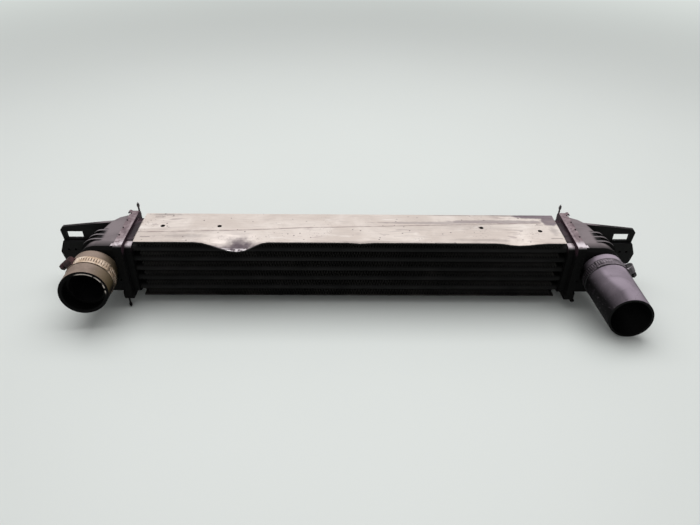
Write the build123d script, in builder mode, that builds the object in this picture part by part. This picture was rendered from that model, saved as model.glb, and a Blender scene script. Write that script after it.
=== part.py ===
from build123d import *
import os
from math import cos, floor, hypot, pi, radians, sin, tan

# Charge-air cooler with crimped end tanks. Millimetres, +Z up.
# X runs along the tubes, and the ports face -Y, the front.
# The origin is the middle of the bottom side plate's underside.

# Core: flat tubes and corrugated fin rows between two side plates
core_length = 534.0
core_depth = 66.0
tube_count = 5
tube_height = 8.0
tube_depth = 64.0
tube_wall = 0.6
tube_end_reach = 3.0
braze_gap = 0.05
fin_height = 6.5
fin_pitch = 17.0
fin_sheet = 0.3
fin_setback = 5.0
turbulator_pitch = 11.0
turbulator_sheet = 0.3
turbulator_setback = 4.0

# Side plates, each with a bent tongue at both ends that meets the headers
plate_sheet = 1.5
plate_setback = 3.3
tongue_width = 44.0
tongue_run = 3.8

# Small holes through the top side plate: which end, distance from it, distance in Y
plate_hole_radius = 2.8
plate_holes = ((-1, 27.7, 3.0), (-1, 98.7, 3.0), (1, 98.7, 2.0), (1, 25.7, -5.0))

# Dents in the front edge of the top side plate: which end (0 is the middle), start,
# deepest and end measured from it, sag, push, number of facets on each flank
plate_dents = (
    (-1, 72.7, 125.7, 162.7, 10.0, 6.0, 5),
    (0, -6.0, 11.0, 29.0, 1.2, 0.0, 2),
    (1, -87.7, -57.7, -21.7, 3.4, 0.0, 3),
)
dent_depth = 30.0
dent_profile_steps = 3

# Headers: stamped trays whose rims are crimped over the tank feet
header_sheet = 1.5
neck_margin = 2.0
neck_proud = 3.5
neck_radius = 8.0
neck_length = 8.0
rim_proud = 11.0
rim_radius = 6.0
lip_width = 3.5
notch_width = 3.0
notch_pitch = 17.1
notch_shift = 7.6
notch_depth = 2.4

# Leaf-shaped tabs on the header rims, some of which the cooler stands on
tab_width = 3.2
tab_leaf = 9.0
tab_waist = 1.8
back_tab_length = 10.5
stand_height = 11.0
back_tab_place = 1.6
foot_tab_place = 5.2

# Tabs curled outwards at the rim's top corners, and under the right rim
curl_radius = 2.6
curl_width = 5.0

# Gaskets between headers and tank feet
gasket_sheet = 2.0
gasket_width = 3.4
seat_gap = 0.3

# End tanks: moulded elbows that grow towards the spigot
foot_sheet = 5.5
tank_wall = 3.0
lip_gap = 0.5
# Each station: share of the way to the front, reach past the lip, drop of the top,
# corner radius
tank_stations = (
    (0.0, 8.0, 0.0, 6.0),
    (0.08, 20.0, 0.0, 8.0),
    (0.2, 28.0, 0.0, 10.0),
    (0.68, 43.5, 0.0, 21.0),
    (0.87, 49.5, 0.0, 27.0),
    (0.965, 53.5, 2.5, 27.0),
    (1.0, 55.5, 7.0, 25.0),
)
# Share of the top's drop that the underside rises by
tank_belly = 0.25

# Spigots, each measured from the lip and the front of the core
port_reach = 32.0
spigot_radius = 23.5
spigot_wall = 3.0
spigot_lengths = {"left": 38.0, "right": 23.0}

# Ribs across the tank's outer shoulder, each measured from the tank's front
rib_places = (33.0, 23.0, 13.0)
rib_sheet = 2.6
rib_proud = 3.2
rib_rise = 0.2
rib_tightening = 4.0

# Mounting lugs behind the outer shoulder; places are reach past the lip and height
# above the middle
lug_setback = 7.0
lug_sheet = 4.0
lug_block = 8.0
lug_outline = (
    (12.0, 35.5), (88.0, 27.0), (92.0, 22.0), (90.5, 7.0),
    (97.0, -9.0), (94.0, -24.0), (88.0, -27.0), (12.0, -27.0),
)
lug_ledge = 6.7
lug_window = (64.0, 85.0, 9.2, 19.8)
lug_hole_radius = 1.7
lug_hole_spacing = 9.0
lug_hole_middle = (81.5, -6.0)
lug_corner_radius = 3.0

# Hoses: a short straight stub on the left, a drooping bent one on the right
hose_gap = 0.1
hose_root_gap = 0.5
hose_walls = {"left": 4.4, "right": 2.8}
left_hose_length = 47.0
left_mouth_turn = 8.0
left_mouth_tilt = 7.0
right_hose_straight = 22.5
right_bend_radius = 30.0
right_bend_angle = 40.5
right_bend_down = 50.0
right_hose_end = 60.0
right_mouth_depth = 66.6
right_mouth_turn = 3.4
right_mouth_tilt = -2.6

# Worm-drive clamps
band_width = 12.0
band_sheet = 0.8
band_gap = 0.05
band_places = {"left": 13.6, "right": 10.9}
clamp_angles = {"left": 50.0, "right": 32.0}
tail_angle = 85.0
tail_spring = 1.2
housing_length = 11.0
housing_sheet = 1.0
housing_flange = 1.5
screw_radius = 3.2
screw_gap = 0.1
screw_shoulder = 2.6
screw_head_radius = 4.4
screw_head_length = 4.5
screw_slot = 1.0

# Worked out from the sizes above
layer_pitch = tube_height + fin_height
core_height = 2 * plate_sheet + tube_count * layer_pitch + fin_height
mid_height = core_height / 2
header_face = core_length / 2
rim_face = header_face + neck_length
seat_face = rim_face + header_sheet
foot_face = seat_face + gasket_sheet
lip_face = foot_face + foot_sheet
plate_end = header_face - plate_setback
fin_end = header_face - fin_setback
tube_end = header_face + header_sheet + tube_end_reach
neck_half_depth = core_depth / 2 + neck_proud
neck_half_height = mid_height - plate_sheet - fin_height + neck_margin
rim_half_depth = core_depth / 2 + rim_proud
foot_half_depth = rim_half_depth - header_sheet - seat_gap
foot_half_height = mid_height - header_sheet - seat_gap
core_front = -core_depth / 2
port_x = lip_face + port_reach
tank_back = rim_half_depth - header_sheet - lip_width - lip_gap
tank_half_height = mid_height - header_sheet - lip_width - lip_gap
lug_back = core_depth / 2 - lug_setback


def across(x, z=mid_height):
    """Plane square to the tubes, with Y to its right and Z up."""
    return Plane(origin=(x, 0, z), x_dir=(0, 1, 0), z_dir=(1, 0, 0))


def facing_front(y, z=0.0):
    """Plane square to Y, with X to its right and Z up; it extrudes to the front."""
    return Plane(origin=(0, y, z), x_dir=(1, 0, 0), z_dir=(0, -1, 0))


def zigzag(length, pitch, height, sheet):
    """Outline of a corrugated strip: its upper side, then its lower side back."""
    half_pitch = pitch / 2
    legs = floor(length / half_pitch)
    upright = sheet * hypot(half_pitch, height) / half_pitch
    upper = [
        ((i - legs / 2) * half_pitch, height / 2 if i % 2 else upright - height / 2)
        for i in range(legs + 1)
    ]
    lower = [(x, z - upright) for x, z in reversed(upper)]
    return upper + lower


def save(shape, name):
    """Write one finished piece under its own name."""
    shape.label = name
    export_step(shape, f"parts/{name}.step")


os.makedirs("parts", exist_ok=True)

# Flat tubes with a turbulator strip brazed inside each
for i in range(tube_count):
    tube_level = plate_sheet + fin_height + tube_height / 2 + i * layer_pitch

    with BuildPart() as tube:
        with BuildSketch(across(-tube_end, tube_level)):
            SlotOverall(tube_depth, tube_height)
            SlotOverall(tube_depth - 2 * tube_wall, tube_height - 2 * tube_wall, mode=Mode.SUBTRACT)
        extrude(amount=2 * tube_end)
    save(tube.part, f"tube_{i + 1}")

    turbulator_end = tube_end - turbulator_setback
    with BuildPart() as turbulator:
        with BuildSketch(across(-turbulator_end, tube_level)):
            with BuildLine():
                Polyline(
                    *zigzag(
                        tube_depth - tube_height,
                        turbulator_pitch,
                        tube_height - 2 * tube_wall,
                        turbulator_sheet,
                    ),
                    close=True,
                )
            make_face()
        extrude(amount=2 * turbulator_end)
    save(turbulator.part, f"turbulator_{i + 1}")


def dent_shape(share, sag, push):
    """Front edge of the plate's top side at a share of a dent's full depth."""
    start = core_front + dent_depth
    run = dent_depth + push * share
    return [
        (start - run * k / dent_profile_steps, core_height - sag * share * (k / dent_profile_steps) ** 2)
        for k in range(dent_profile_steps + 1)
    ]


def dent_stations(start, deepest, end, flank_steps):
    """Places along X through a dent, each with its share of the full depth."""
    rising = [k / flank_steps for k in range(flank_steps + 1)]
    before = [(start + (deepest - start) * t, sin(pi / 2 * t) ** 2) for t in rising]
    after = [(end - (end - deepest) * t, sin(pi / 2 * t) ** 2) for t in reversed(rising[:-1])]
    return before + after


def dent_sections(dent, roof):
    """Sections of the dented front strip; its top side is raised to the roof."""
    plate_side, start, deepest, end, sag, push, flank_steps = dent
    sections = []
    for offset, share in dent_stations(start, deepest, end, flank_steps):
        x = plate_side * plate_end + offset
        edge = dent_shape(share, sag, push)
        upper = [(x, y, max(z, roof)) for y, z in edge]
        lower = [(x, y, z - plate_sheet) for y, z in reversed(edge)]
        sections.append(Face(Wire.make_polygon(upper + lower)))
    return sections


# Room that the dents take from the fin row under the top side plate
with BuildPart() as dent_room:
    for dent in plate_dents:
        loft(dent_sections(dent, core_height + plate_sheet), ruled=True)


def tongue_profile(lift):
    """Bent end tongue, seen from the front: from the plate down onto the neck."""
    top = core_height if lift > 0 else 0.0
    neck = mid_height + lift * neck_half_height
    sheet = lift * plate_sheet
    return (
        (plate_end - 1, top),
        (plate_end, top),
        (plate_end + tongue_run, neck + sheet),
        (rim_face, neck + sheet),
        (rim_face, neck),
        (plate_end + tongue_run - 1, neck),
        (plate_end - 1, top - sheet),
    )


def tongue_section(side, lift):
    """Tongue at one end of a side plate; lift is 1 on top and -1 below."""
    with BuildSketch(facing_front(tongue_width / 2)) as section:
        with BuildLine():
            Polyline(*[(side * x, z) for x, z in tongue_profile(lift)], close=True)
        make_face()
    return section.sketch


with BuildPart() as top_side_plate:
    with BuildSketch(Plane.XY.offset(core_height - plate_sheet)):
        Rectangle(2 * plate_end, core_depth)
        for plate_side, start, _, end, *_ in plate_dents:
            middle = plate_side * plate_end + (start + end) / 2
            with Locations((middle, core_front + dent_depth / 2)):
                Rectangle(end - start, dent_depth, mode=Mode.SUBTRACT)
    extrude(amount=plate_sheet)
    for dent in plate_dents:
        loft(dent_sections(dent, 0.0), ruled=True)
    with BuildSketch(Plane.XY.offset(core_height)):
        with Locations(*[(way * (plate_end - inset), y) for way, inset, y in plate_holes]):
            Circle(plate_hole_radius)
    extrude(amount=-2 * plate_sheet, mode=Mode.SUBTRACT)
    for side in (-1, 1):
        extrude(tongue_section(side, 1), amount=tongue_width)
save(top_side_plate.part, "top_side_plate")

with BuildPart() as bottom_side_plate:
    with BuildSketch(Plane.XY):
        Rectangle(2 * plate_end, core_depth)
    extrude(amount=plate_sheet)
    for side in (-1, 1):
        extrude(tongue_section(side, -1), amount=tongue_width)
save(bottom_side_plate.part, "bottom_side_plate")

# Corrugated fin rows; the dents crush the top row's front
for i in range(tube_count + 1):
    fin_level = plate_sheet + fin_height / 2 + i * layer_pitch
    with BuildPart() as fin_row:
        with BuildSketch(facing_front(tube_depth / 2, fin_level)):
            with BuildLine():
                Polyline(*zigzag(2 * fin_end, fin_pitch, fin_height, fin_sheet), close=True)
            make_face()
        extrude(amount=tube_depth)
        if i == tube_count:
            add(dent_room.part, mode=Mode.SUBTRACT)
    save(fin_row.part, f"fin_row_{i + 1}")


def leaf_tab(x, y, root, tip):
    """Flat leaf of rim sheet on a narrow stem that runs along Z from root to tip."""
    way = 1 if tip > root else -1
    with BuildSketch(facing_front(y + header_sheet / 2)) as outline:
        with Locations((x, (root + tip) / 2 - way * tab_leaf / 4)):
            Rectangle(tab_waist, abs(tip - root) - tab_leaf / 2)
        with Locations((x, tip - way * tab_leaf / 2)):
            leaf_side = tab_width / 2
            Polygon(
                (0, -tab_leaf / 2),
                (leaf_side, -tab_leaf / 5),
                (leaf_side, tab_leaf / 5),
                (0, tab_leaf / 2),
                (-leaf_side, tab_leaf / 5),
                (-leaf_side, -tab_leaf / 5),
            )
    extrude(outline.sketch, amount=header_sheet)


def curled_tab(x, y, tip, way, width):
    """Tab on the rim's outer face, curled outwards at its tip; way is 1 up and -1 down."""
    root = tip - way * curl_radius
    with BuildSketch(facing_front(y + width / 2)) as hook:
        with Locations((x + curl_radius, root)):
            RegularPolygon(curl_radius, 8, major_radius=False, rotation=22.5)
            RegularPolygon(curl_radius - header_sheet, 8, major_radius=False, rotation=22.5, mode=Mode.SUBTRACT)
        with Locations((x + curl_radius, root - way * curl_radius)):
            Rectangle(2 * curl_radius, 2 * curl_radius, mode=Mode.SUBTRACT)
        with Locations((x + header_sheet / 2, root - way * header_sheet / 2)):
            Rectangle(header_sheet, header_sheet)
    extrude(hook.sketch, amount=width)


# Headers
for side_name, side in (("left", -1), ("right", 1)):
    with BuildPart() as header_tray:
        with BuildSketch(across(header_face)):
            RectangleRounded(2 * neck_half_depth, 2 * neck_half_height, neck_radius)
        extrude(amount=neck_length + header_sheet)
        with BuildSketch(across(rim_face)):
            RectangleRounded(2 * rim_half_depth, core_height, rim_radius)
        extrude(amount=lip_face + header_sheet - rim_face)
        with BuildSketch(across(header_face + header_sheet)):
            RectangleRounded(
                2 * (neck_half_depth - header_sheet),
                2 * (neck_half_height - header_sheet),
                neck_radius - header_sheet,
            )
        extrude(amount=neck_length, mode=Mode.SUBTRACT)
        with BuildSketch(across(seat_face)):
            RectangleRounded(
                2 * (rim_half_depth - header_sheet),
                core_height - 2 * header_sheet,
                rim_radius - header_sheet,
            )
        extrude(amount=lip_face - seat_face, mode=Mode.SUBTRACT)
        with BuildSketch(across(lip_face)):
            Rectangle(
                2 * (rim_half_depth - header_sheet - lip_width),
                core_height - 2 * (header_sheet + lip_width),
            )
        extrude(amount=header_sheet, mode=Mode.SUBTRACT)
        with BuildSketch(across(header_face)):
            with GridLocations(0, layer_pitch, 1, tube_count):
                SlotOverall(tube_depth + 2 * braze_gap, tube_height + 2 * braze_gap)
        extrude(amount=header_sheet, mode=Mode.SUBTRACT)
        with BuildSketch(across(lip_face + header_sheet - notch_depth)):
            with Locations((notch_shift, 0)):
                with GridLocations(notch_pitch, core_height - lip_width, 4, 2):
                    Rectangle(notch_width, lip_width + 2 * header_sheet)
            with GridLocations(2 * rim_half_depth - lip_width, notch_pitch, 2, 4):
                Rectangle(lip_width + 2 * header_sheet, notch_width)
        extrude(amount=notch_depth, mode=Mode.SUBTRACT)
        tab_row = rim_half_depth - header_sheet / 2
        corner_row = rim_half_depth - rim_radius + curl_width / 4
        leaf_tab(rim_face + back_tab_place, tab_row, core_height - rim_radius, core_height + back_tab_length)
        leaf_tab(rim_face + foot_tab_place, tab_row, rim_radius, -stand_height)
        for y in (corner_row, -corner_row):
            curled_tab(lip_face, y, core_height, 1, curl_width)
        if side_name == "left":
            leaf_tab(rim_face + foot_tab_place, -tab_row, rim_radius, -stand_height)
        else:
            curled_tab(lip_face, -corner_row, header_sheet - 2 * curl_radius, -1, tab_width)
    with BuildPart() as header:
        if side > 0:
            add(header_tray.part)
        else:
            mirror(header_tray.part, about=Plane.YZ)
    save(header.part, f"{side_name}_header")

    with BuildPart() as gasket:
        with BuildSketch(across(side * seat_face)):
            RectangleRounded(2 * foot_half_depth, 2 * foot_half_height, rim_radius - header_sheet - seat_gap)
            RectangleRounded(
                2 * (foot_half_depth - gasket_width),
                2 * (foot_half_height - gasket_width),
                1.0,
                mode=Mode.SUBTRACT,
            )
        extrude(amount=side * gasket_sheet)
    save(gasket.part, f"{side_name}_gasket")


def tank_section(station, root, inset):
    """One section of the elbow, square to Y, from its root to its reach, shrunk by inset."""
    y, reach, drop, corner = station
    top = tank_half_height - drop - inset
    underside = inset + drop * tank_belly - tank_half_height
    with BuildSketch(facing_front(y, mid_height)) as section:
        with BuildLine():
            Polyline(
                (root, underside),
                (reach - inset, underside),
                (reach - inset, top),
                (root, top),
                close=True,
            )
        make_face()
        fillet(section.vertices().group_by(Axis.X)[-1], corner - inset)
    return section.sketch


def tank_sections(root, inset):
    """The elbow's sections from the back to the spigot."""
    back, *between, front = elbow
    back_end = back[0] - inset
    front_end = front[0] + inset
    kept = [station for station in between if front_end < station[0] < back_end]
    stations = [(back_end, *back[1:]), *kept, (front_end, *front[1:])]
    return [tank_section(station, root, inset) for station in stations]


def station_at(place):
    """The elbow's reach, drop and corner radius between two stations."""
    for back, front in zip(elbow, elbow[1:]):
        if front[0] <= place <= back[0]:
            share = (back[0] - place) / (back[0] - front[0])
            return [a + (b - a) * share for a, b in zip(back[1:], front[1:])]


def lug_sketch():
    """Outline of a mounting lug, with its outer corners rounded."""
    corners = [(lip_face + x, mid_height + z) for x, z in lug_outline]
    with BuildSketch(facing_front(lug_back)) as outline:
        with BuildLine():
            Polyline(*corners, close=True)
        make_face()
        fillet([v for v in outline.vertices() if v.X > lip_face + lug_window[1]], lug_corner_radius)
    return outline.sketch


# The elbow's stations as distance in Y, reach in X, drop of the top and corner radius
elbow = [
    (tank_back + (core_front - tank_back) * share, lip_face + reach, drop, corner)
    for share, reach, drop, corner in tank_stations
]

# End tanks
for side_name, side in (("left", -1), ("right", 1)):
    spigot_length = spigot_lengths[side_name]
    with BuildPart() as air_space:
        loft(tank_sections(foot_face - seat_gap, tank_wall), ruled=True)
        with BuildSketch(facing_front(core_front + 2 * tank_wall, mid_height)):
            with Locations((port_x, 0)):
                Circle(spigot_radius - spigot_wall)
        extrude(amount=2 * tank_wall + spigot_length)

    with BuildPart() as tank_shell:
        extrude(lug_sketch(), amount=lug_block)
        with BuildSketch(facing_front(lug_back - lug_sheet, mid_height)):
            with Locations((lip_face, lug_ledge)):
                Rectangle(2 * lug_window[1], 2 * lug_window[1], align=(Align.MIN, Align.MIN))
        extrude(amount=lug_block - lug_sheet, mode=Mode.SUBTRACT)
        with BuildSketch(facing_front(lug_back, mid_height)):
            window_left, window_right, window_sill, window_head = lug_window
            with Locations((lip_face + window_left, window_sill)):
                Rectangle(
                    window_right - window_left,
                    window_head - window_sill,
                    align=(Align.MIN, Align.MIN),
                )
            with Locations((lip_face + lug_hole_middle[0], lug_hole_middle[1])):
                with GridLocations(lug_hole_spacing, 0, 2, 1):
                    Circle(lug_hole_radius)
        extrude(amount=lug_block, mode=Mode.SUBTRACT)
        loft(tank_sections(foot_face + foot_sheet / 2, 0.0), ruled=True)
        with BuildSketch(across(foot_face)):
            RectangleRounded(2 * foot_half_depth, 2 * foot_half_height, rim_radius - header_sheet - seat_gap)
        extrude(amount=foot_sheet)
        with BuildSketch(facing_front(core_front, mid_height)):
            with Locations((port_x, 0)):
                Circle(spigot_radius)
        extrude(amount=spigot_length)
        for place in rib_places:
            reach, drop, corner = station_at(core_front + place)
            rib = (core_front + place, reach + rib_proud, drop - rib_rise, corner - rib_tightening)
            extrude(tank_section(rib, reach - corner, 0.0), amount=-rib_sheet)
        add(air_space.part, mode=Mode.SUBTRACT)

    with BuildPart() as tank:
        if side > 0:
            add(tank_shell.part)
        else:
            mirror(tank_shell.part, about=Plane.YZ)
    save(tank.part, f"{side_name}_tank")


def mouth_plane(place, turn, tilt):
    """Cutting plane of a hose's mouth; it faces the front, turned and tilted by degrees."""
    facing = (sin(radians(turn)), -cos(radians(turn)) * cos(radians(tilt)), sin(radians(tilt)))
    return Plane(origin=place, z_dir=facing)


# Path of the right hose, bent outwards and down, laid in the plane of its bend
hose_start = core_front - hose_root_gap
droop = Vector(cos(radians(right_bend_down)), 0, -sin(radians(right_bend_down)))
bend_plane = Plane(
    origin=(port_x, hose_start, mid_height),
    x_dir=(0, -1, 0),
    z_dir=Vector(0, -1, 0).cross(droop),
)
straight_run = Line((0, 0), (right_hose_straight, 0))
bend_run = JernArc(straight_run @ 1, (1, 0), right_bend_radius, right_bend_angle)
end_run = Line(bend_run @ 1, bend_run @ 1 + right_hose_end * (bend_run % 1))
right_path = bend_plane * (straight_run + bend_run + end_run)
right_mouth = bend_plane.from_local_coords(
    bend_run @ 1 + (right_mouth_depth - (bend_run @ 1).X) / (bend_run % 1).X * (bend_run % 1)
)

# Hoses
for side_name, side in (("left", -1), ("right", 1)):
    hose_inner = spigot_radius + hose_gap
    hose_outer = hose_inner + hose_walls[side_name]
    with BuildPart() as hose:
        with BuildSketch(facing_front(hose_start, mid_height)):
            with Locations((side * port_x, 0)):
                Circle(hose_outer)
                Circle(hose_inner, mode=Mode.SUBTRACT)
        if side > 0:
            sweep(path=right_path.wire())
            mouth = mouth_plane(right_mouth, right_mouth_turn, right_mouth_tilt)
        else:
            extrude(amount=left_hose_length + hose_outer)
            mouth_middle = (-port_x, hose_start - left_hose_length, mid_height)
            mouth = mouth_plane(mouth_middle, left_mouth_turn, left_mouth_tilt)
        split(bisect_by=mouth, keep=Keep.BOTTOM)
    save(hose.part, f"{side_name}_hose")

    # Clamp around the hose, made for the right side and mirrored for the left
    clamp_angle = clamp_angles[side_name]
    band_inner = hose_outer + band_gap
    band_outer = band_inner + band_sheet
    band_front = core_front - band_places[side_name]
    housing_share = (housing_length / 2) / band_outer * 180 / pi
    tail_start = clamp_angle + housing_share
    tail_shift = Vector(cos(radians(tail_start)), sin(radians(tail_start))) * tail_spring
    tail_middle = Vector(port_x, 0) - tail_shift
    with BuildPart() as band_ring:
        with BuildSketch(facing_front(band_front, mid_height)):
            with Locations((port_x, 0)):
                Circle(band_outer)
                Circle(band_inner, mode=Mode.SUBTRACT)
            with BuildLine():
                inner_arc = CenterArc(tail_middle, band_inner + tail_spring, tail_start, tail_angle)
                outer_arc = CenterArc(tail_middle, band_outer + tail_spring, tail_start, tail_angle)
                Line(inner_arc @ 0, outer_arc @ 0)
                Line(inner_arc @ 1, outer_arc @ 1)
            make_face()
        extrude(amount=band_width)

    # Housing and screw, on a plane whose X is the screw's axis and Z points away from the hose
    out = Vector(cos(radians(clamp_angle)), 0, sin(radians(clamp_angle)))
    along = Vector(sin(radians(clamp_angle)), 0, -cos(radians(clamp_angle)))
    clamp_middle = Vector(port_x, band_front - band_width / 2, mid_height)
    screw_level = band_outer + 2 * screw_gap + screw_radius
    screw_middle = clamp_middle + out * screw_level
    hood_inner = screw_radius + screw_gap
    hood_outer = hood_inner + housing_sheet
    screw_back = housing_length / 2
    screw_front = housing_length / 2 + screw_shoulder
    with BuildPart() as hood:
        with BuildSketch(Plane(origin=screw_middle - along * housing_length / 2, x_dir=(0, -1, 0), z_dir=along)):
            Circle(hood_outer)
            with Locations((0, hood_outer)):
                Rectangle(2 * hood_outer, 2 * hood_outer)
            with Locations((0, screw_level - band_outer)):
                Rectangle(band_width, 2 * housing_flange)
            Circle(hood_inner, mode=Mode.SUBTRACT)
            with Locations((0, hood_outer)):
                Rectangle(2 * hood_inner, 2 * hood_outer, mode=Mode.SUBTRACT)
        extrude(amount=housing_length)
        with BuildSketch(facing_front(band_front, mid_height)):
            with Locations((port_x, 0)):
                Circle(band_outer + band_gap)
        extrude(amount=band_width, mode=Mode.SUBTRACT)

    with BuildPart() as worm:
        with BuildSketch(Plane(origin=screw_middle - along * screw_back, x_dir=(0, -1, 0), z_dir=along)):
            Circle(screw_radius)
        extrude(amount=screw_back + screw_front)
        with BuildSketch(Plane(origin=screw_middle + along * screw_front, x_dir=(0, -1, 0), z_dir=along)):
            RegularPolygon(screw_head_radius, 6)
        extrude(amount=screw_head_length)
        with BuildSketch(
            Plane(
                origin=screw_middle + along * (screw_front + screw_head_length),
                x_dir=(0, -1, 0),
                z_dir=along,
            )
        ):
            Rectangle(screw_slot, 3 * screw_head_radius)
        extrude(amount=-screw_slot, mode=Mode.SUBTRACT)

    for name, made in (("band", band_ring), ("housing", hood), ("screw", worm)):
        with BuildPart() as clamp_piece:
            if side > 0:
                add(made.part)
            else:
                mirror(made.part, about=Plane.YZ)
        save(clamp_piece.part, f"{side_name}_clamp_{name}")
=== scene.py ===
from math import cos, hypot, pi, radians, sin

import bmesh
import bpy
from mathutils import Matrix, Vector
from mathutils.bvhtree import BVHTree


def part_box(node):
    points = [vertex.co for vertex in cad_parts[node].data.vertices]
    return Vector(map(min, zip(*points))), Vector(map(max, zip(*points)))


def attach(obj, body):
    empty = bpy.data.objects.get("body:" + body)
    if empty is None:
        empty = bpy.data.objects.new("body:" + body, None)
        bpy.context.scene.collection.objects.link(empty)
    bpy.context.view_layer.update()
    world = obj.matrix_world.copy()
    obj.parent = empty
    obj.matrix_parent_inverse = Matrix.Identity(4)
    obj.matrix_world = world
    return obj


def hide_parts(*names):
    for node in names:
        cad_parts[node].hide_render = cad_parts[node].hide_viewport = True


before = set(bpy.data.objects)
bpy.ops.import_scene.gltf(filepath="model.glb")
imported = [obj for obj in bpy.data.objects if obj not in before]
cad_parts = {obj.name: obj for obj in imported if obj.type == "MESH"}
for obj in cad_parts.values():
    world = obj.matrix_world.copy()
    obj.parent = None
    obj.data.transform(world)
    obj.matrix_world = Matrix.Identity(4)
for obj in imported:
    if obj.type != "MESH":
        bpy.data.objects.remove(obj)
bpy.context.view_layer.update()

# Lines of the CAD that materials and pieces follow, in metres; the plate's tongues
# reach the faces of the header rims
RIM_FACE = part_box("top_side_plate")[1][0]
PLATE_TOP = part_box("top_side_plate")[1][2]
PLATE_END = RIM_FACE - 0.0113
PORT_X = 0.316
PORT_Z = 0.041
RIB_PITCH = 0.010
RIB_SHEET = 0.0026

# The hoses' middle lines: straight on the left; straight, arc and straight on the right
HOSE_BORE = 0.0236
HOSE_START = -0.0335
HOSE_STRAIGHT = 0.0225
BEND_RADIUS = 0.030
BEND_ANGLE = radians(40.5)
DROOP = radians(50)

# Clamp bands
BAND_SHEET = 0.0008
BAND_SLOTS = 60
BAND_MARGIN = 0.0028
SLOT_SHARE = 0.45
SLOT_SLANT = radians(1.8)
ROW_SLANTS = (-1.0, -0.6, 0.6, 1.0)
CLAMP_ANGLES = {"left": radians(50), "right": radians(32)}
TAIL_ANGLE = radians(85)
TAIL_SPRING = 0.0012
HOUSING_LENGTH = 0.011

# Fins
WAVE_PITCH = 0.0034
WAVE_STEPS = 8
FIN_SHEET = 0.00015
CRUSHED_SLICES = 13
ROOF_GAP = 0.00015
LEAST_ROOM = 0.0003
LEAST_SHEET = 0.00005
RAY_DEPTH = 0.02

# Stains on the top side plate: middle X and Y, half sizes, depth, raggedness of the edge
PLATE_STAINS = (
    (-0.136, -0.0345, 0.030, 0.0115, 1.00, 0.7),
    (-0.137, -0.0270, 0.020, 0.0120, 0.75, 0.9),
    (-0.165, -0.0375, 0.040, 0.0050, 0.95, 0.8),
    (-0.108, -0.0375, 0.040, 0.0050, 0.95, 0.8),
    (-0.205, -0.0190, 0.040, 0.0050, 0.22, 1.0),
    (0.020, -0.0310, 0.060, 0.0030, 0.30, 1.0),
    (0.165, -0.0260, 0.050, 0.0040, 0.25, 1.2),
    (-0.235, 0.0300, 0.030, 0.0035, 0.40, 1.2),
    (0.256, -0.0040, 0.007, 0.0150, 0.35, 1.3),
    (0.205, 0.0315, 0.060, 0.0022, 0.60, 0.8),
    (0.130, 0.0315, 0.050, 0.0016, 0.45, 0.8),
)
# Grey patches where the top side plate has lost its shine: middle, half sizes, depth
PLATE_PATCHES = (
    (0.238, 0.0300, 0.034, 0.0062, 1.00),
    (0.256, 0.0190, 0.012, 0.0140, 0.95),
    (0.190, 0.0165, 0.080, 0.0048, 0.60),
    (0.100, 0.0130, 0.070, 0.0036, 0.40),
)
# Stamped dashes: middle X and Y, half length
PLATE_DASHES = (
    (-0.2440, 0.0245, 0.0060),
    (-0.2520, -0.0215, 0.0055),
    (0.2545, 0.0244, 0.0065),
    (0.2548, -0.0217, 0.0068),
)
# The long crease: points along it
PLATE_CREASE = (
    (-0.265, -0.0110),
    (-0.230, -0.0100),
    (-0.1075, -0.0037),
    (-0.064, 0.0002),
    (0.242, 0.0140),
)
# Painted highlight on the crumpled lip of the deepest dent: middle X and Y, half sizes
DENT_LIP_HIGHLIGHT = (-0.138, -0.0400, 0.040, 0.0060)

# Half widths of lines on the top side plate, and how far their ends fade
CREASE_WIDTH = 0.0019
CREASE_FADE = 0.004
DASH_WIDTH = 0.0012
DASH_FADE = 0.001

# Where dust, wear, bare metal, painted light and painted shade begin and end, in metres
PLATE_EDGE_Y = (-0.0290, -0.0325)
TONGUE_X = (PLATE_END + 0.0022, PLATE_END + 0.0034)
RIDGE_X = RIM_FACE + 0.0016
RIDGE_HALF = (0.0018, 0.0004)
HEADER_LIT_Z = (0.072, 0.0755)
HEADER_INWARD_Z = (0.066, 0.076)
HEADER_BARE_Y = (-0.024, -0.037)
NECK_X = (RIM_FACE - 0.0005, RIM_FACE - 0.003)
NECK_CORNER_Y = (-0.020, -0.026)
GROOVE_X = (RIM_FACE, RIM_FACE - 0.0008)
GROOVE_Y = (-0.021, -0.017)
TAB_Z = (PLATE_TOP + 0.0005, PLATE_TOP + 0.002)
TANK_LIT_Z = (0.050, 0.066)
TANK_LIT_DUST_Y = (-0.034, -0.022)
TANK_LIT_DUST_X = (0.334, 0.312)
RIBS_X = (0.303, 0.309)
RIBS_BACK_Y = (0.007, 0.004)
RIBS_FRONT_Y = (-0.024, -0.021)
RIB_EDGE = (0.0017, 0.0012)
BORE_EDGE = (HOSE_BORE + 0.0014, HOSE_BORE + 0.0004)
LIP_OUTSIDE = (HOSE_BORE + 0.0020, HOSE_BORE + 0.0012)
LIP_INSIDE = (HOSE_BORE + 0.0002, HOSE_BORE + 0.0006)
LIP_UPPER_RIGHT = (0.016, 0.024)

# Painted shade: near black on the front faces of headers, tanks and gaskets, on the hoses' cut ends and in
# their bores
FRONT_SHADE = (0.0035, 0.0035, 0.0035)
CUT_END_SHADE = (0.003, 0.003, 0.003)
BORE_SHADE = (0.002, 0.002, 0.002)

# Stage
FLOOR = -0.011
FLOOR_HALF = 40.0
BACKDROP = (0.70, 0.74, 0.715)
BACKDROP_FADE = (0.9, 2.4)
WORLD_LIGHT = 0.34
# Each lamp's name, place, aim, size and power
LAMPS = (
    ("top_light", (0.0, 0.45, 1.5), (0, 0, 0), (2.4, 1.2), 27.0),
    ("front_light", (0.2, -1.9, 1.2), (0, 0, 0.04), (1.8, 0.8), 2.5),
)

# Camera, from the core's edges in the photograph
PITCH, YAW, ROLL = 0.62330, 0.024182, 0.018159
CAMERA_PLACE = (-0.01580, -0.63313, 0.48391)
CAMERA_LENS = 30.62
CAMERA_SENSOR = 36.0
CAMERA_NEAR = 0.01


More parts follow.
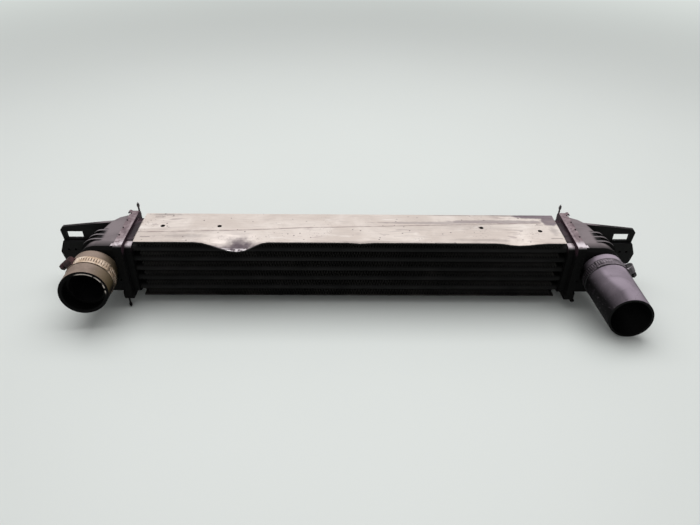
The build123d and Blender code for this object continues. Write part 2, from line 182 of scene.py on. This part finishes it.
# ---------------------------------------------------------------- materials

class Look:
    """A node material whose sockets are filled by small helpers."""

    def __init__(self, name):
        self.mat = bpy.data.materials.new(name)
        self.mat.use_nodes = True
        self.tree = self.mat.node_tree
        self.bsdf = self.tree.nodes["Principled BSDF"]
        self.where = self.tree.nodes.new("ShaderNodeTexCoord").outputs["Object"]

    def node(self, kind, inputs=None, **settings):
        """Adds a node, sets its options and fills its inputs by name or place."""
        made = self.tree.nodes.new(kind)
        for key, value in settings.items():
            setattr(made, key, value)
        for key, value in (inputs or {}).items():
            self.put(value, made.inputs[key])
        return made

    def put(self, value, socket):
        """Links a socket's value, or writes a constant straight on the socket."""
        if isinstance(value, bpy.types.NodeSocket):
            self.tree.links.new(value, socket)
        elif socket.type == "RGBA":
            socket.default_value = (*value, 1.0)
        else:
            socket.default_value = value

    def set(self, **inputs):
        for key, value in inputs.items():
            self.put(value, self.bsdf.inputs[key.replace("_", " ")])

    def split(self, vector):
        return self.node("ShaderNodeSeparateXYZ", {"Vector": vector}).outputs

    def place(self):
        """X, Y and Z of the point in the shared frame."""
        return self.split(self.where)

    def normal(self):
        """X, Y and Z of the way the surface faces."""
        return self.split(self.node("ShaderNodeNewGeometry").outputs["Normal"])

    def stretch(self, x, y, z):
        scale = (x, y, z)
        return self.node("ShaderNodeMapping", {"Vector": self.where, "Scale": scale}).outputs["Vector"]

    def noise(self, scale, detail=4.0, rough=0.55, at=None, warp=0.0):
        return self.node("ShaderNodeTexNoise", {
            "Vector": at or self.where,
            "Scale": scale,
            "Detail": detail,
            "Roughness": rough,
            "Distortion": warp,
        }).outputs["Fac"]

    def cells(self, scale, at=None):
        where = at or self.where
        return self.node("ShaderNodeTexVoronoi", {"Vector": where, "Scale": scale}).outputs["Distance"]

    def math(self, operation, a, b=0.0):
        return self.node("ShaderNodeMath", {0: a, 1: b}, operation=operation).outputs["Value"]

    def plus(self, a, b):
        return self.math("ADD", a, b)

    def minus(self, a, b):
        return self.math("SUBTRACT", a, b)

    def times(self, product, *others):
        for other in others:
            product = self.math("MULTIPLY", product, other)
        return product

    def apart(self, a, b=0.0):
        """How far apart two values are."""
        return self.math("ABSOLUTE", self.minus(a, b))

    def length(self, a, b):
        return self.math("SQRT", self.plus(self.times(a, a), self.times(b, b)))

    def choose(self, switch, on, off):
        """The one value where the switch is 1, the other where it is 0."""
        return self.plus(self.times(on, switch), self.times(off, self.minus(1.0, switch)))

    def ease(self, value, start, end, low=0.0, high=1.0):
        """Rises smoothly from low to high while the value goes from start to end."""
        return self.node("ShaderNodeMapRange", {
            "Value": value,
            "From Min": start,
            "From Max": end,
            "To Min": low,
            "To Max": high,
        }, interpolation_type="SMOOTHSTEP").outputs["Result"]

    def mix(self, share, a, b):
        made = self.node("ShaderNodeMix", {6: a, 7: b}, data_type="RGBA")
        self.put(share, made.inputs["Factor"])
        return made.outputs[2]

    def paint(self, colour, mask, over, strength=1.0):
        """Lays a colour over another where the mask is 1."""
        return self.mix(self.times(mask, strength), colour, over)

    def blob(self, x, y, half_x, half_y, edge, ragged=0.0, scale=0.0):
        """A spot on the XY plane, 1 inside and 0 outside, with a soft or ragged edge."""
        place = self.place()
        across = self.math("DIVIDE", self.minus(place["X"], x), half_x)
        along = self.math("DIVIDE", self.minus(place["Y"], y), half_y)
        far = self.length(across, along)
        if ragged:
            far = self.plus(far, self.times(self.minus(self.noise(scale, 3), 0.5), ragged))
        return self.ease(far, 1.0, 1.0 - edge)

    def line(self, start, end, width, fade):
        """1 along a straight line on the XY plane, 0 away from it."""
        place = self.place()
        run_x, run_y = end[0] - start[0], end[1] - start[1]
        length = hypot(run_x, run_y)
        share_x, share_y = run_x / length, run_y / length
        x = self.minus(place["X"], start[0])
        y = self.minus(place["Y"], start[1])
        along = self.plus(self.times(x, share_x), self.times(y, share_y))
        off = self.apart(self.times(y, share_x), self.times(x, share_y))
        ends = self.times(self.ease(along, -fade, 0.0), self.ease(along, length + fade, length))
        return self.times(ends, self.ease(off, width, 0.0))

    def bump(self, height, distance, strength):
        return self.node("ShaderNodeBump", {
            "Height": height,
            "Distance": distance,
            "Strength": strength,
        }).outputs["Normal"]


def faces_front(k):
    """1 where the surface faces the ports' side, -1 where it faces the back."""
    return k.times(k.normal()["Y"], -1.0)


def tinted(colour, factor):
    return tuple(channel * factor for channel in colour)


def plate_metal(k, streak, cloud):
    """Dull rolled aluminium, cloudy and streaked along the core."""
    colour = k.mix(k.ease(cloud, 0.35, 0.7), (0.62, 0.54, 0.49), (0.76, 0.685, 0.635))
    colour = k.paint(colour, k.ease(streak, 0.45, 0.75), (0.42, 0.37, 0.35), 0.42)
    smear = k.noise(7, 6, 0.62, k.stretch(1, 5, 5), 0.5)
    colour = k.paint(colour, k.ease(smear, 0.52, 0.72), (0.36, 0.31, 0.30), 0.40)
    bright = k.noise(22, 5, 0.6, k.stretch(1, 3, 1), 0.4)
    return k.paint(colour, k.ease(bright, 0.56, 0.72), (0.86, 0.80, 0.755), 0.6)


def plate_dirt(k, colour):
    """Patches, stains, specks, pits and scratches on the plate."""
    for x, y, half_x, half_y, depth in PLATE_PATCHES:
        patch = k.blob(x, y, half_x, half_y, 0.35, 0.7, 120)
        colour = k.paint(colour, patch, (0.20, 0.160, 0.178), depth)
    for x, y, half_x, half_y, depth, ragged in PLATE_STAINS:
        stain = k.blob(x, y, half_x, half_y, 0.8, ragged, 150)
        colour = k.paint(colour, stain, (0.070, 0.045, 0.060), depth)
    specks = k.ease(k.cells(270, k.stretch(1, 1.2, 1)), 0.26, 0.12)
    specks = k.times(specks, k.ease(k.noise(20), 0.50, 0.58))
    colour = k.paint(colour, specks, (0.20, 0.145, 0.145), 0.6)
    pits = k.times(k.ease(k.cells(120), 0.15, 0.08), k.ease(k.noise(29, 2), 0.50, 0.56))
    colour = k.paint(colour, pits, (0.08, 0.05, 0.055), 0.85)
    scratch = k.ease(k.noise(75, 3, 0.5, k.stretch(0.35, 2.2, 1), 1.2), 0.60, 0.64)
    scratch = k.times(scratch, k.ease(k.noise(8, 2), 0.45, 0.6))
    return k.paint(colour, scratch, (0.30, 0.235, 0.235), 0.55)


def plate_crease(k):
    """The long crease, broken here and there."""
    crease = 0.0
    for start, end in zip(PLATE_CREASE, PLATE_CREASE[1:]):
        crease = k.math("MAXIMUM", crease, k.line(start, end, CREASE_WIDTH, CREASE_FADE))
    broken = k.ease(k.noise(60, 4, 0.6, k.stretch(1, 0.2, 1)), 0.3, 0.6, low=0.35)
    return k.times(crease, broken)


def plate_dashes(k):
    dashes = 0.0
    for x, y, half in PLATE_DASHES:
        dash = k.line((x - half, y), (x + half, y), DASH_WIDTH, DASH_FADE)
        dashes = k.math("MAXIMUM", dashes, dash)
    return dashes


def plate_look():
    k = Look("plate_look")
    streak = k.noise(9, 6, 0.6, k.stretch(6, 60, 60), 0.3)
    cloud = k.noise(16, 5, 0.6, warp=0.6)
    colour = plate_dirt(k, plate_metal(k, streak, cloud))
    crease = plate_crease(k)
    colour = k.paint(colour, crease, (0.25, 0.185, 0.175), 0.85)
    dashes = plate_dashes(k)
    colour = k.paint(colour, dashes, (0.12, 0.08, 0.085), 0.8)
    worn_edge = k.times(k.ease(k.place()["Y"], *PLATE_EDGE_Y), k.ease(k.noise(45, 5), 0.42, 0.6))
    colour = k.paint(colour, worn_edge, (0.22, 0.18, 0.18), 0.35)
    # Painted highlight on the crumpled lip of the deepest dent, whose creases the bump also presses in
    lip_crease_highlight = k.ease(k.noise(110, 4, 0.6, k.stretch(1, 5, 5), 1.0), 0.45, 0.53)
    lip_crease_highlight = k.times(k.blob(*DENT_LIP_HIGHLIGHT, 0.5), lip_crease_highlight)
    colour = k.paint(colour, lip_crease_highlight, (0.80, 0.74, 0.76))
    # Painted shade: dark where the tongues' ends meet the header rims, in the groove there
    tongue = k.ease(k.apart(k.place()["X"]), *TONGUE_X)
    grime_and_shade = k.mix(k.ease(k.noise(120), 0.4, 0.65), (0.016, 0.008, 0.012), (0.050, 0.028, 0.038))
    colour = k.paint(colour, tongue, grime_and_shade)
    # Painted shade: near black where the plate stops facing up
    colour = k.paint(colour, k.ease(k.normal()["Z"], 0.75, 0.3), (0.012, 0.011, 0.011))
    k.set(Base_Color=colour, Metallic=0.25, Roughness=k.ease(streak, 0.3, 0.8, 0.42, 0.62))
    fine = k.noise(900, 2, 0.5, k.stretch(0.25, 1, 1))
    relief = k.plus(k.times(cloud, 0.6), k.times(fine, 0.12))
    relief = k.minus(relief, k.times(k.math("MAXIMUM", crease, dashes), 0.5))
    relief = k.minus(relief, k.times(lip_crease_highlight, 0.8))
    k.set(Normal=k.bump(relief, 0.0012, 0.4))
    return k.mat


def core_look(name, low, high, metal, rough):
    """Dirty aluminium, darker where the dirt is thick; the near-black colours given to tubes, fins and the
    bottom side plate are painted shade.
    """
    k = Look(name)
    dirt = k.noise(30, 6, 0.65, k.stretch(0.6, 1, 1.6), 0.4)
    grit = k.noise(500, 3)
    colour = k.mix(k.ease(dirt, 0.38, 0.68), low, high)
    colour = k.paint(colour, k.ease(grit, 0.55, 0.75), tinted(low, 0.4), 0.5)
    k.set(Base_Color=colour, Metallic=metal, Roughness=k.ease(dirt, 0.3, 0.7, rough + 0.15, rough))
    k.set(Specular_IOR_Level=0.2, Normal=k.bump(grit, 0.0004, 0.3))
    return k.mat


def header_metal(k, grime_and_shade, grit):
    """The headers' top sides: grimy, with a painted highlight on the rim's ridge and painted shade in the
    groove inside the rim, bare at the front.
    """
    place = k.place()
    reach = k.apart(place["X"])
    metal = k.mix(k.ease(grime_and_shade, 0.35, 0.7), (0.17, 0.125, 0.137), (0.37, 0.295, 0.31))
    metal = k.paint(metal, k.ease(grit, 0.52, 0.72), (0.055, 0.042, 0.05), 0.6)
    # Painted highlight along the rim's ridge
    ridge = k.ease(k.apart(reach, RIDGE_X), *RIDGE_HALF)
    ridge = k.times(ridge, k.ease(k.noise(70), 0.4, 0.6))
    metal = k.paint(metal, ridge, (0.46, 0.38, 0.41), 0.5)
    bare = k.times(k.ease(place["Y"], *HEADER_BARE_Y), k.ease(k.noise(130), 0.34, 0.56))
    neck_corner = k.times(k.ease(reach, *NECK_X), k.ease(place["Y"], *NECK_CORNER_Y), 0.75)
    metal = k.paint(metal, k.math("MAXIMUM", bare, neck_corner), (0.76, 0.69, 0.73), 0.9)
    # Painted shade in the groove inside the rim, behind its front corner
    groove = k.times(k.ease(reach, *GROOVE_X), k.ease(place["Y"], *GROOVE_Y))
    return k.paint(metal, groove, (0.045, 0.028, 0.036))


def header_look():
    k = Look("header_look")
    place = k.place()
    grime_and_shade = k.noise(55, 6, 0.65, warp=0.5)
    grit = k.noise(420)
    # Painted shade: the header is near black, except on its lit upper faces, which take the metal colour
    dark = k.mix(k.ease(grime_and_shade, 0.4, 0.7), (0.004, 0.0037, 0.004), (0.008, 0.0075, 0.0078))
    lit = k.times(k.ease(k.normal()["Z"], 0.1, 0.75), k.ease(place["Z"], *HEADER_LIT_Z))
    colour = k.paint(dark, lit, header_metal(k, grime_and_shade, grit))
    # Painted shade on the upright faces turned along X near the rims' tops
    inward = k.times(k.ease(place["Z"], *HEADER_INWARD_Z), k.ease(k.apart(k.normal()["X"]), 0.6, 0.9))
    colour = k.paint(colour, inward, (0.050, 0.026, 0.036), 0.8)
    # Painted shade: near black on the faces that turn to the front
    colour = k.paint(colour, k.ease(faces_front(k), 0.15, 0.85), FRONT_SHADE)
    tab = k.ease(place["Z"], *TAB_Z)
    tab_metal = k.mix(k.ease(grit, 0.4, 0.65), (0.09, 0.086, 0.086), (0.26, 0.25, 0.25))
    colour = k.paint(colour, tab, tab_metal)
    k.set(Base_Color=colour, Metallic=0.3, Roughness=k.ease(grit, 0.3, 0.7, 0.55, 0.75))
    k.set(Specular_IOR_Level=0.1)
    k.set(Normal=k.bump(k.plus(grime_and_shade, k.times(grit, 0.3)), 0.0008, 0.4))
    return k.mat


def tank_look():
    """Black moulding, pale and dusty on its lit upper slope, with painted highlights on the ribs' upper
    edges and painted shade in the rib gaps and on its front.
    """
    k = Look("tank_look")
    up = k.normal()["Z"]
    place = k.place()
    reach = k.apart(place["X"])
    dusty = k.noise(28, 6, 0.62, warp=0.8)
    # Dusty and lit: pale where the upper slope faces up, fading where it turns away, toward the front and
    # outboard; the fading is painted shade
    lit_dusty_shoulder = k.times(k.ease(up, 0.68, 0.97), k.ease(dusty, 0.3, 0.62, low=0.7))
    lit_dusty_shoulder = k.times(lit_dusty_shoulder, k.ease(place["Z"], *TANK_LIT_Z), k.ease(place["Y"], *TANK_LIT_DUST_Y))
    lit_dusty_shoulder = k.times(lit_dusty_shoulder, k.ease(reach, *TANK_LIT_DUST_X, low=0.12))
    # Distance from the nearest rib's middle; ten pitches keep the value above 0
    off_rib = k.math("PINGPONG", k.plus(place["Y"], 10 * RIB_PITCH - RIB_SHEET / 2), RIB_PITCH / 2)
    on_rib = k.ease(off_rib, *RIB_EDGE)
    ribbed = k.times(k.ease(reach, *RIBS_X), k.ease(place["Y"], *RIBS_BACK_Y))
    ribbed = k.times(ribbed, k.ease(place["Y"], *RIBS_FRONT_Y))
    # Painted shade: black in the gaps of the ribbed zone
    rib_gap_shade = k.times(ribbed, k.minus(1.0, on_rib))
    lit_dusty_shoulder = k.times(lit_dusty_shoulder, k.minus(1.0, rib_gap_shade))
    # Painted highlight on the ribs' up-facing upper edges
    rib_crest_highlight = k.times(on_rib, ribbed, k.ease(up, 0.25, 0.75))
    colour = k.mix(k.ease(dusty, 0.4, 0.7), (0.0035, 0.0033, 0.0036), (0.009, 0.0085, 0.0095))
    colour = k.paint(colour, lit_dusty_shoulder, (0.225, 0.190, 0.200))
    colour = k.paint(colour, rib_crest_highlight, (0.16, 0.145, 0.155), 0.55)
    # Painted shade: near black on the faces that turn to the front
    colour = k.paint(colour, k.ease(faces_front(k), 0.3, 0.8), FRONT_SHADE)
    k.set(Base_Color=colour, Roughness=k.ease(dusty, 0.3, 0.7, 0.5, 0.68), Specular_IOR_Level=0.12)
    k.set(Normal=k.bump(k.noise(700, 2), 0.0003, 0.25))
    return k.mat


def off_straight_line(k):
    """How far a point is from the left hose's middle line."""
    place = k.place()
    return k.length(k.plus(place["X"], PORT_X), k.minus(place["Z"], PORT_Z))


def off_bent_line(k):
    """How far a point is from the right hose's middle line."""
    place = k.place()
    x = k.minus(place["X"], PORT_X)
    z = k.minus(place["Z"], PORT_Z)
    fall = k.minus(k.times(x, cos(DROOP)), k.times(z, sin(DROOP)))
    off_plane = k.plus(k.times(x, sin(DROOP)), k.times(z, cos(DROOP)))
    past = k.minus(k.minus(HOSE_START, place["Y"]), HOSE_STRAIGHT)
    to_centre = k.minus(BEND_RADIUS, fall)
    off_arc = k.minus(BEND_RADIUS, k.length(past, to_centre))
    end_past = k.minus(past, BEND_RADIUS * sin(BEND_ANGLE))
    end_fall = k.minus(fall, BEND_RADIUS * (1 - cos(BEND_ANGLE)))
    off_end = k.minus(k.times(end_fall, cos(BEND_ANGLE)), k.times(end_past, sin(BEND_ANGLE)))
    off = k.choose(k.math("GREATER_THAN", past, 0.0), off_arc, fall)
    turned = k.math("ARCTAN2", past, to_centre)
    off = k.choose(k.math("GREATER_THAN", turned, BEND_ANGLE), off_end, off)
    return k.length(off, off_plane)


def bright_lip(k, off, cut):
    """The upper edge of the left hose's bore, where the cut shines in places."""
    place = k.place()
    ring = k.times(k.ease(off, *LIP_OUTSIDE), k.ease(off, *LIP_INSIDE))
    upper_right = k.plus(k.plus(place["X"], PORT_X), k.minus(place["Z"], PORT_Z))
    ring = k.times(ring, k.ease(upper_right, *LIP_UPPER_RIGHT))
    return k.times(ring, cut, k.ease(k.noise(160, 3), 0.44, 0.52))


def rubber_look(name, side, dark, pale, rough, wear, dust_and_light_range):
    """Dusty rubber, pale on its dusty top where light falls and painted near black in shade, on its cut
    ends and, for hoses, in its bores: side is -1 for the left hose, 1 for the right one and 0 for a
    gasket.
    """
    k = Look(name)
    normal = k.normal()
    rub = k.noise(26, 6, 0.6, warp=0.7)
    fine = k.noise(380, 4, 0.6)
    # Dusty top and painted light: pale where the surface faces up, painted shade where it turns away
    dust_and_light = k.times(k.ease(normal["Z"], *dust_and_light_range), k.ease(rub, 0.3, 0.7, low=0.65))
    colour = k.mix(dust_and_light, dark, pale)
    colour = k.paint(colour, k.ease(fine, 0.58, 0.76), tinted(pale, 1.6), wear)
    if side < 0:
        # An olive tint on the faces that turn to +X and slightly down
        olive_tint = k.times(k.ease(normal["X"], 0.25, 0.85), k.ease(normal["Z"], -0.25, 0.15))
        colour = k.paint(colour, olive_tint, (0.125, 0.092, 0.045), 0.6)
    if side > 0:
        sheen = k.ease(k.noise(24, 4, 0.5, warp=0.8), 0.30, 0.56, low=0.35)
        sheen = k.times(sheen, k.ease(normal["Z"], 0.74, 0.87))
        colour = k.paint(colour, sheen, (0.40, 0.335, 0.40), 0.85)
        scuff = k.ease(k.noise(60, 5, 0.7, k.stretch(2, 1, 3), 1.5), 0.60, 0.66)
        colour = k.paint(colour, scuff, (0.055, 0.040, 0.055), 0.35)
    # Painted shade: near black on the cut ends and the faces that turn to the front
    cut = k.ease(faces_front(k), 0.93, 0.97) if side else k.ease(faces_front(k), 0.75, 0.95)
    colour = k.paint(colour, cut, CUT_END_SHADE)
    # Painted shade: the hoses' bores are near black inside
    if side:
        off = off_straight_line(k) if side < 0 else off_bent_line(k)
        colour = k.paint(colour, k.ease(off, *BORE_EDGE), BORE_SHADE)
    if side < 0:
        colour = k.paint(colour, bright_lip(k, off, cut), (0.62, 0.55, 0.50))
    k.set(Base_Color=colour, Roughness=k.ease(rub, 0.3, 0.7, rough, rough + 0.14), Specular_IOR_Level=0.05)
    k.set(Normal=k.bump(k.plus(rub, k.times(fine, 0.25)), 0.0012, 0.35))
    return k.mat


def clamp_look(name, low, high, metal, under, shade=(0.35, -0.4)):
    """Worn steel with painted shade where it stops facing up."""
    k = Look(name)
    rust = k.noise(70, 6, 0.65, warp=0.6)
    fine = k.noise(600, 3)
    colour = k.mix(k.ease(rust, 0.35, 0.68), low, high)
    colour = k.paint(colour, k.ease(fine, 0.55, 0.75), tinted(low, 0.3), 0.6)
    colour = k.paint(colour, k.ease(k.normal()["Z"], *shade), under)
    k.set(Base_Color=colour, Metallic=metal, Roughness=k.ease(rust, 0.3, 0.7, 0.42, 0.62))
    k.set(Normal=k.bump(fine, 0.0004, 0.4))
    return k.mat


# The look of each node whose name holds the key
looks = {
    "top_side_plate": plate_look(),
    # Painted shade: tubes, fins and the bottom side plate get near-black colours
    "tube": core_look("tube_look", (0.0035, 0.0035, 0.0035), (0.0065, 0.006, 0.006), 0.1, 0.65),
    "fin_row": core_look("fin_look", (0.012, 0.0115, 0.011), (0.024, 0.0225, 0.021), 0.1, 0.65),
    "turbulator": core_look("strip_look", (0.25, 0.24, 0.23), (0.42, 0.40, 0.39), 0.8, 0.40),
    "bottom_side_plate": core_look(
        "under_plate_look", (0.006, 0.0055, 0.0055), (0.03, 0.027, 0.026), 0.25, 0.6,
    ),
    "header": header_look(),
    "tank": tank_look(),
    "gasket": rubber_look(
        "gasket_look", 0, (0.012, 0.012, 0.012), (0.03, 0.03, 0.03), 0.6, 0.1, (-0.2, 0.95),
    ),
    "left_hose": rubber_look(
        "left_hose_look", -1, (0.008, 0.007, 0.007), (0.31, 0.238, 0.198), 0.5, 0.35, (0.0, 0.75),
    ),
    "right_hose": rubber_look(
        "right_hose_look", 1, (0.006, 0.0055, 0.006), (0.225, 0.188, 0.222), 0.42, 0.2, (0.16, 0.90),
    ),
    "left_clamp_band": clamp_look(
        "left_band_look", (0.50, 0.355, 0.245), (0.85, 0.70, 0.57), 0.2, (0.030, 0.020, 0.008),
        (0.40, -0.10),
    ),
    "right_clamp_band": clamp_look(
        "right_band_look", (0.075, 0.060, 0.072), (0.25, 0.21, 0.24), 0.3, (0.006, 0.0055, 0.006),
        (0.80, 0.22),
    ),
    "left_clamp_housing": clamp_look(
        "left_housing_look", (0.016, 0.006, 0.008), (0.13, 0.062, 0.060), 0.3, (0.010, 0.004, 0.005),
    ),
    "right_clamp_housing": clamp_look(
        "right_housing_look", (0.05, 0.042, 0.05), (0.36, 0.32, 0.35), 0.4, (0.012, 0.011, 0.012),
    ),
    "left_clamp_screw": clamp_look(
        "left_screw_look", (0.014, 0.004, 0.006), (0.105, 0.045, 0.048), 0.4, (0.012, 0.004, 0.005),
    ),
    "right_clamp_screw": clamp_look(
        "right_screw_look", (0.008, 0.007, 0.008), (0.06, 0.055, 0.055), 0.5, (0.006, 0.006, 0.006),
    ),
}
for name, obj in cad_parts.items():
    look = next(made for key, made in looks.items() if key in name)
    if not obj.material_slots:
        obj.data.materials.append(look)
    for material_slot in obj.material_slots:
        material_slot.material = look


# ---------------------------------------------------------------- pieces

def piece(name, bm, look, node):
    """Makes a piece that stands for a CAD node and takes its finish from that node's slot."""
    mesh = bpy.data.meshes.new(name)
    bm.to_mesh(mesh)
    bm.free()
    mesh.materials.append(look)
    obj = bpy.data.objects.new(name, mesh)
    bpy.context.collection.objects.link(obj)
    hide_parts(node)
    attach(obj, "root")
    return obj


def band_strip(bm, middle, radius, y_range, start, turn):
    """Slotted strip wound about an axis along Y; it is open where the slots are."""
    x, z = middle
    front, back = y_range
    across = (front, front + BAND_MARGIN, back - BAND_MARGIN, back)
    closed = abs(turn) >= 2 * pi
    count = round(BAND_SLOTS * abs(turn) / (2 * pi))
    angles = []
    for i in range(count):
        angles.append(start + turn * i / count)
        angles.append(start + turn * (i + 1 - SLOT_SHARE) / count)
    if not closed:
        angles.append(start + turn)
    rows = []
    for angle in angles:
        row = []
        for y, slant in zip(across, ROW_SLANTS):
            turned = angle + slant * SLOT_SLANT if closed else angle
            row.append(bm.verts.new((x + radius * cos(turned), y, z + radius * sin(turned))))
        rows.append(row)
    following = rows[1:] + rows[:1] if closed else rows[1:]
    for i, (a, b) in enumerate(zip(rows, following)):
        is_slot = i % 2 == 1
        for j in (0, 2) if is_slot else (0, 1, 2):
            bm.faces.new((a[j], a[j + 1], b[j + 1], b[j]))


def slotted_band(side_name, side):
    """Worm-drive band with slots punched all round, and its loose tail over the top."""
    node = f"{side_name}_clamp_band"
    low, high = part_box(node)
    y_range = (low[1], high[1])
    outer = PORT_Z - low[2]
    start = CLAMP_ANGLES[side_name] + HOUSING_LENGTH / 2 / outer
    if side < 0:
        start = pi - start
    port_x = side * PORT_X
    tail_middle = (port_x - TAIL_SPRING * cos(start), PORT_Z - TAIL_SPRING * sin(start))
    bm = bmesh.new()
    band_strip(bm, (port_x, PORT_Z), outer, y_range, 0.0, 2 * pi)
    band_strip(bm, tail_middle, outer + TAIL_SPRING, y_range, start, side * TAIL_ANGLE)
    bmesh.ops.recalc_face_normals(bm, faces=bm.faces)
    for face in bm.faces:
        middle = face.calc_center_median()
        if face.normal.dot(middle - Vector((port_x, middle.y, PORT_Z))) < 0:
            face.normal_flip()
        face.smooth = True
    obj = piece(f"{side_name}_slotted_band", bm, looks[node], node)
    sheet = obj.modifiers.new("sheet", "SOLIDIFY")
    sheet.thickness = BAND_SHEET
    sheet.offset = -1.0


def dented_plate():
    """Search tree over the dented top side plate."""
    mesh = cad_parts["top_side_plate"].data
    return BVHTree.FromPolygons([v.co for v in mesh.vertices], [p.vertices for p in mesh.polygons])


def fin_wave(length, height):
    """Rounded corrugation: points along X, each with its height and the sheet's upright thickness."""
    waves = int(length / WAVE_PITCH)
    points = []
    for i in range(waves * WAVE_STEPS + 1):
        turn = 2 * pi * i / WAVE_STEPS
        x = (i / WAVE_STEPS - waves / 2) * WAVE_PITCH
        slope = pi * height / WAVE_PITCH * abs(cos(turn))
        points.append((x, sin(turn), min(FIN_SHEET * hypot(1, slope), height / 4)))
    return points


def fin_edge(bm, x, y, base, height, lift, thick, roof):
    """Top and bottom of the fin's sheet at one place, pressed down under a dented roof."""
    room = height
    if roof:
        hit = roof.ray_cast(Vector((x, y, base - RAY_DEPTH)), Vector((0, 0, 1)))[0]
        if hit:
            room = hit.z - ROOF_GAP - base
    squeeze = min(1.0, max(room, LEAST_ROOM) / height)
    rise = (lift + 1) / 2 * (height - thick) + thick
    top = base + min(rise * squeeze, room)
    bottom = top - min(thick, thick * squeeze + LEAST_SHEET)
    return [bm.verts.new((x, y, top)), bm.verts.new((x, y, bottom))]


def fine_fins(number, roof):
    """One corrugated strip; the top one is crushed where the plate above it is dented."""
    node = f"fin_row_{number}"
    low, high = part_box(node)
    height = high[2] - low[2]
    slices = CRUSHED_SLICES if roof else 2
    places = [low[1] + (high[1] - low[1]) * i / (slices - 1) for i in range(slices)]
    bm = bmesh.new()
    columns = [
        [fin_edge(bm, x, y, low[2], height, lift, thick, roof) for y in places]
        for x, lift, thick in fin_wave(high[0] - low[0], height)
    ]
    for a, b in zip(columns, columns[1:]):
        for j in range(slices - 1):
            for layer in (0, 1):
                face = bm.faces.new((a[j][layer], b[j][layer], b[j + 1][layer], a[j + 1][layer]))
                face.smooth = True
        for j in (0, slices - 1):
            bm.faces.new((a[j][0], a[j][1], b[j][1], b[j][0]))
    for column in (columns[0], columns[-1]):
        for near, following in zip(column, column[1:]):
            bm.faces.new((near[0], following[0], following[1], near[1]))
    bmesh.ops.recalc_face_normals(bm, faces=bm.faces)
    piece(f"fine_fins_{number}", bm, looks["fin_row"], node)


slotted_band("left", -1)
slotted_band("right", 1)
fin_count = sum(name.startswith("fin_row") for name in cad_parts)
for number in range(1, fin_count + 1):
    fine_fins(number, dented_plate() if number == fin_count else None)


# ---------------------------------------------------------------- stage

def floor_look():
    """Pale floor; far from the object the camera sees the backdrop's colour instead."""
    k = Look("floor_look")
    k.set(Base_Color=k.mix(k.noise(1.5, 3), (0.66, 0.69, 0.67), (0.70, 0.73, 0.71)), Roughness=0.45)
    far = k.node("ShaderNodeVectorMath", {0: k.where}, operation="LENGTH").outputs["Value"]
    seen = k.node("ShaderNodeLightPath").outputs["Is Camera Ray"]
    glow = k.node("ShaderNodeEmission", {"Color": BACKDROP, "Strength": 1.0})
    blend = k.node("ShaderNodeMixShader", {
        "Fac": k.times(seen, k.ease(far, *BACKDROP_FADE)),
        1: k.bsdf.outputs["BSDF"],
        2: glow.outputs["Emission"],
    })
    k.put(blend.outputs["Shader"], k.tree.nodes["Material Output"].inputs["Surface"])
    return k.mat


def ground():
    mesh = bpy.data.meshes.new("floor")
    corners = [(x * FLOOR_HALF, y * FLOOR_HALF, FLOOR) for x, y in ((-1, -1), (1, -1), (1, 1), (-1, 1))]
    mesh.from_pydata(corners, [], [(0, 1, 2, 3)])
    mesh.materials.append(floor_look())
    obj = bpy.data.objects.new("floor", mesh)
    bpy.context.collection.objects.link(obj)


def lamp(name, at, aim, size, power):
    light = bpy.data.lights.new(name, "AREA")
    light.shape = "RECTANGLE"
    light.size, light.size_y = size
    light.energy = power
    obj = bpy.data.objects.new(name, light)
    obj.location = at
    obj.rotation_euler = (Vector(aim) - Vector(at)).to_track_quat("-Z", "Y").to_euler()
    bpy.context.collection.objects.link(obj)


def sky():
    """Soft grey light from all round; the camera sees the backdrop's colour instead."""
    world = bpy.data.worlds.new("world")
    world.use_nodes = True
    tree = world.node_tree
    seen = tree.nodes.new("ShaderNodeLightPath")
    shown = tree.nodes.new("ShaderNodeMix")
    shown.data_type = "RGBA"
    shown.inputs[6].default_value = (WORLD_LIGHT, WORLD_LIGHT, WORLD_LIGHT, 1.0)
    shown.inputs[7].default_value = (*BACKDROP, 1.0)
    tree.links.new(seen.outputs["Is Camera Ray"], shown.inputs["Factor"])
    tree.links.new(shown.outputs[2], tree.nodes["Background"].inputs["Color"])
    bpy.context.scene.world = world


def photo_camera():
    """Camera at the photograph's viewing angle."""
    ahead = Vector((sin(YAW) * cos(PITCH), cos(YAW) * cos(PITCH), -sin(PITCH)))
    right = Vector((cos(YAW), -sin(YAW), 0.0))
    up = right.cross(ahead)
    across = cos(ROLL) * right + sin(ROLL) * up
    upright = cos(ROLL) * up - sin(ROLL) * right
    camera = bpy.data.objects.new("camera", bpy.data.cameras.new("camera"))
    camera.data.lens = CAMERA_LENS
    camera.data.sensor_width = CAMERA_SENSOR
    camera.data.clip_start = CAMERA_NEAR
    turn = Matrix((across, upright, -ahead)).transposed().to_4x4()
    camera.matrix_world = Matrix.Translation(CAMERA_PLACE) @ turn
    bpy.context.collection.objects.link(camera)
    bpy.context.scene.camera = camera


ground()
for settings in LAMPS:
    lamp(*settings)
sky()
photo_camera()
bpy.context.scene.view_settings.view_transform = "Standard"
